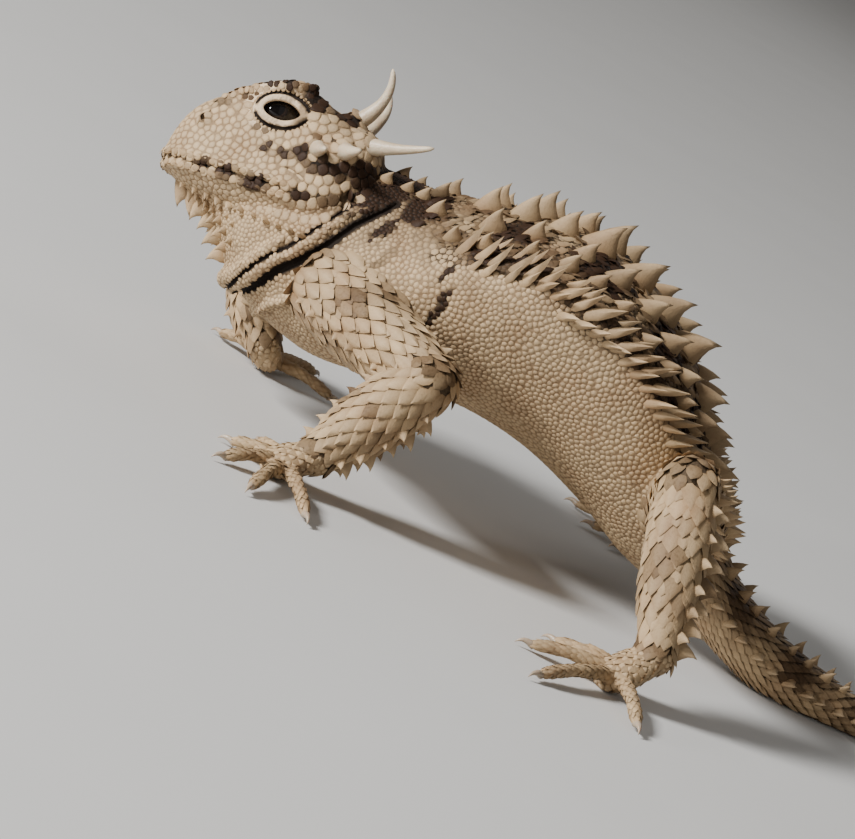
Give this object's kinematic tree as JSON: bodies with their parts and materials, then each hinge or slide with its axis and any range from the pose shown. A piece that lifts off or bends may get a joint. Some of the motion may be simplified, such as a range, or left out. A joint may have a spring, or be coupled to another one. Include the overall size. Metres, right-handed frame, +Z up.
{
  "type": "horned lizard model",
  "caption": "Still life-size horned lizard with head horns, rows of back spines and side fringe, standing alert on four splayed feet with its tail laid down.",
  "frame": {"origin": "bottom centre of the bounding box, at floor level", "axes": "+X towards the head, +Y towards the animal's left side, +Z up"},
  "size_m": [0.1236, 0.098, 0.0431],
  "materials": {
    "skin": "dry scaly skin, matte, mottled buff grey",
    "horn": "horn, pale, slightly glossy",
    "eye": "wet dark eye, glossy"
  },
  "bodies": {
    "root": {"eye_left": "eye", "eye_right": "eye", "fore_leg_left_foot": "skin", "fore_leg_left_lower": "skin", "fore_leg_left_upper": "skin", "fore_leg_right_foot": "skin", "fore_leg_right_lower": "skin", "fore_leg_right_upper": "skin", "head": "skin", "hind_leg_left_foot": "skin", "hind_leg_left_lower": "skin", "hind_leg_left_upper": "skin", "hind_leg_right_foot": "skin", "hind_leg_right_lower": "skin", "hind_leg_right_upper": "skin", "horn_occipital_left": "horn", "horn_occipital_right": "horn", "horn_temporal_1_left": "horn", "horn_temporal_1_right": "horn", "horn_temporal_2_left": "horn", "horn_temporal_2_right": "horn", "horn_temporal_3_left": "horn", "horn_temporal_3_right": "horn", "neck": "skin", "tail_base": "skin", "tail_tip": "skin", "torso": "skin"}
  },
  "joints": []
}
